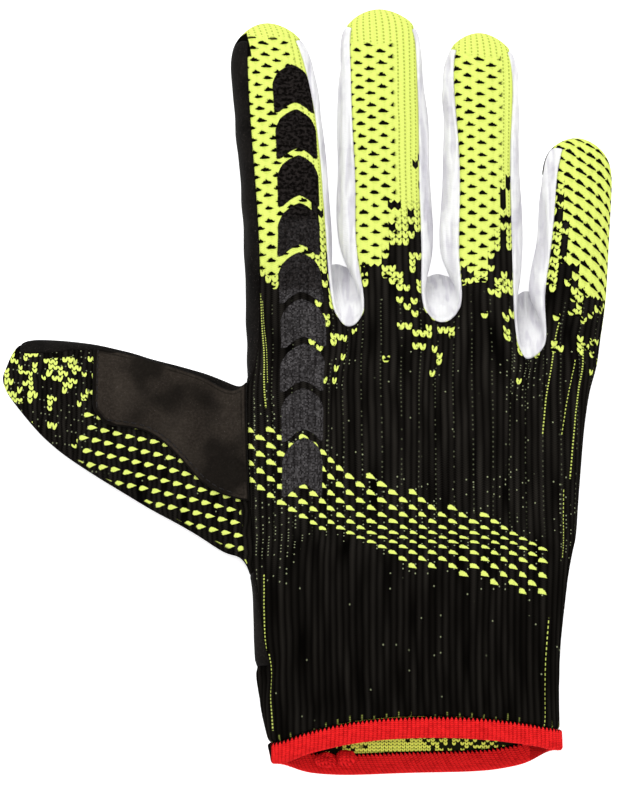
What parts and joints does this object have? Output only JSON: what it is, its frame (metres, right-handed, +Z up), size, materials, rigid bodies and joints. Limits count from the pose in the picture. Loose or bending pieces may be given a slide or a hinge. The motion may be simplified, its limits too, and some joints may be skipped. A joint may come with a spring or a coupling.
{
  "type": "motorcycle glove",
  "caption": "Slip-on knitted riding glove for the right hand, lying palm down, with a suede palm, stretch gussets between the fingers and a knitted cuff band.",
  "frame": {"origin": "centre of the glove's box in plan, on the surface that it lies on", "axes": "+Y from the cuff to the fingertips, +X to the little finger's side, +Z up out of the back of the hand"},
  "size_m": [0.1842, 0.2335, 0.0226],
  "materials": {
    "knit": "fine ribbed knit, black with a neon yellow jacquard",
    "suede": "napped black suede",
    "suede_patch": "napped brown-black suede",
    "stretch_cloth": "smooth matt stretch cloth",
    "cuff_knit": "thick ribbed knit"
  },
  "bodies": {
    "root": {"knit_back": "knit", "knit_thumb": "knit", "palm": "suede", "thumb_front": "suede", "thumb_patch": "suede_patch", "gusset_index_middle": "stretch_cloth", "gusset_middle_ring": "stretch_cloth", "gusset_ring_little": "stretch_cloth", "cuff_band": "cuff_knit"}
  },
  "joints": []
}
